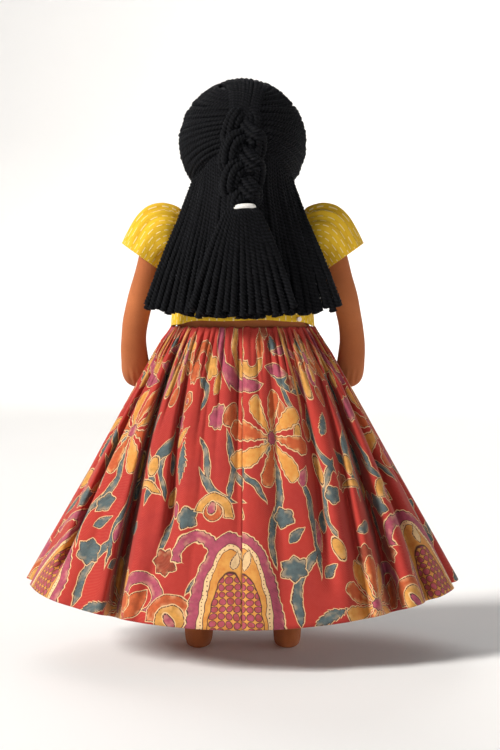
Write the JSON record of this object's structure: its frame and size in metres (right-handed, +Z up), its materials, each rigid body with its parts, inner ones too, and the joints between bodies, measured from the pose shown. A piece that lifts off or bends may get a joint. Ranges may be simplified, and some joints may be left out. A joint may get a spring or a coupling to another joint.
{
  "type": "cloth doll",
  "caption": "Stuffed cloth doll with yarn hair, a fitted blouse with puff sleeves and a long gathered block-printed skirt.",
  "frame": {"origin": "centre of the object's footprint at the height of the soles, so the soles stand on Z = 0", "axes": "+Z up, the face looks along -Y, the doll's left is +X"},
  "size_m": [0.304, 0.216, 0.395],
  "materials": {
    "skin_cloth": "plain woven brown cotton",
    "wadding": "loose fibre filling",
    "sewing_thread": "strong brown thread",
    "dark_thread": "black embroidery thread",
    "red_thread": "red embroidery thread",
    "blouse_cloth": "yellow cotton woven with short cream dashes",
    "stud_plastic": "small pale press stud",
    "hair_yarn": "thick black plied yarn",
    "tie_cloth": "white woven elastic",
    "skirt_print": "red cotton block-printed with flowers, vines and leaves"
  },
  "bodies": {
    "torso": {"torso_front": "skin_cloth", "torso_back": "skin_cloth", "torso_stuffing": "wadding", "shoulder_thread_left": "sewing_thread", "shoulder_thread_right": "sewing_thread", "hip_stitching_left": "sewing_thread", "hip_stitching_right": "sewing_thread", "blouse_front": "blouse_cloth", "blouse_back": "blouse_cloth", "blouse_press_stud": "stud_plastic"},
    "neck": {"neck_skin": "skin_cloth", "neck_stuffing": "wadding"},
    "head": {"head_front": "skin_cloth", "head_back": "skin_cloth", "head_stuffing": "wadding", "neck_stitching": "sewing_thread", "eyes": "dark_thread", "eyebrows": "dark_thread", "nose_stitch": "sewing_thread", "mouth": "red_thread", "bindi": "red_thread", "hair_cap_left": "hair_yarn", "hair_cap_right": "hair_yarn", "parting_stitching": "dark_thread", "braid_crown": "hair_yarn"},
    "loose_hair": {"hair_fall_left": "hair_yarn", "hair_fall_right": "hair_yarn", "braid_lower": "hair_yarn", "hair_tie": "tie_cloth", "braid_tail": "hair_yarn"},
    "left_arm": {"arm_front_left": "skin_cloth", "arm_back_left": "skin_cloth", "arm_stuffing_left": "wadding", "sleeve_left": "blouse_cloth"},
    "right_arm": {"arm_front_right": "skin_cloth", "arm_back_right": "skin_cloth", "arm_stuffing_right": "wadding", "sleeve_right": "blouse_cloth"},
    "left_leg": {"leg_outer_left": "skin_cloth", "leg_inner_left": "skin_cloth", "leg_stuffing_left": "wadding", "leg_binding_left": "skin_cloth"},
    "right_leg": {"leg_outer_right": "skin_cloth", "leg_inner_right": "skin_cloth", "leg_stuffing_right": "wadding", "leg_binding_right": "skin_cloth"},
    "skirt": {"skirt": "skirt_print", "waistband": "skirt_print", "waist_elastic": "tie_cloth"}
  },
  "joints": [
    {"name": "neck_nod", "type": "hinge", "parent": "torso", "child": "neck", "pos_m": [0, 0, 0.306], "axis": [1, 0, 0], "range_deg": [0, 18], "stiffness_Nm_per_rad": 0.12},
    {"name": "head_turn", "type": "hinge", "parent": "neck", "child": "head", "pos_m": [0, 0, 0.316], "axis": [0, 0, 1], "range_deg": [-20, 20], "stiffness_Nm_per_rad": 0.04},
    {"name": "hair_follow", "type": "hinge", "parent": "head", "child": "loose_hair", "pos_m": [0, 0, 0.316], "axis": [0, 0, 1], "range_deg": [-21, 21]},
    {"name": "left_shoulder_swing", "type": "hinge", "parent": "torso", "child": "left_arm", "pos_m": [0.05, 0, 0.288], "axis": [-1, 0, 0], "range_deg": [0, 150]},
    {"name": "right_shoulder_swing", "type": "hinge", "parent": "torso", "child": "right_arm", "pos_m": [-0.05, 0, 0.288], "axis": [-1, 0, 0], "range_deg": [0, 150]},
    {"name": "left_hip_swing", "type": "hinge", "parent": "torso", "child": "left_leg", "pos_m": [0.031, 0, 0.168], "axis": [-1, 0, 0], "range_deg": [-25, 25]},
    {"name": "right_hip_swing", "type": "hinge", "parent": "torso", "child": "right_leg", "pos_m": [-0.031, 0, 0.168], "axis": [-1, 0, 0], "range_deg": [-25, 25]},
    {"name": "skirt_slide", "type": "slide", "parent": "torso", "child": "skirt", "axis": [0, 0, 1], "range_m": [-0.23, 0]}
  ],
  "couplings": [
    {"joint": "hair_follow", "follows": "head_turn", "ratio": -1}
  ]
}
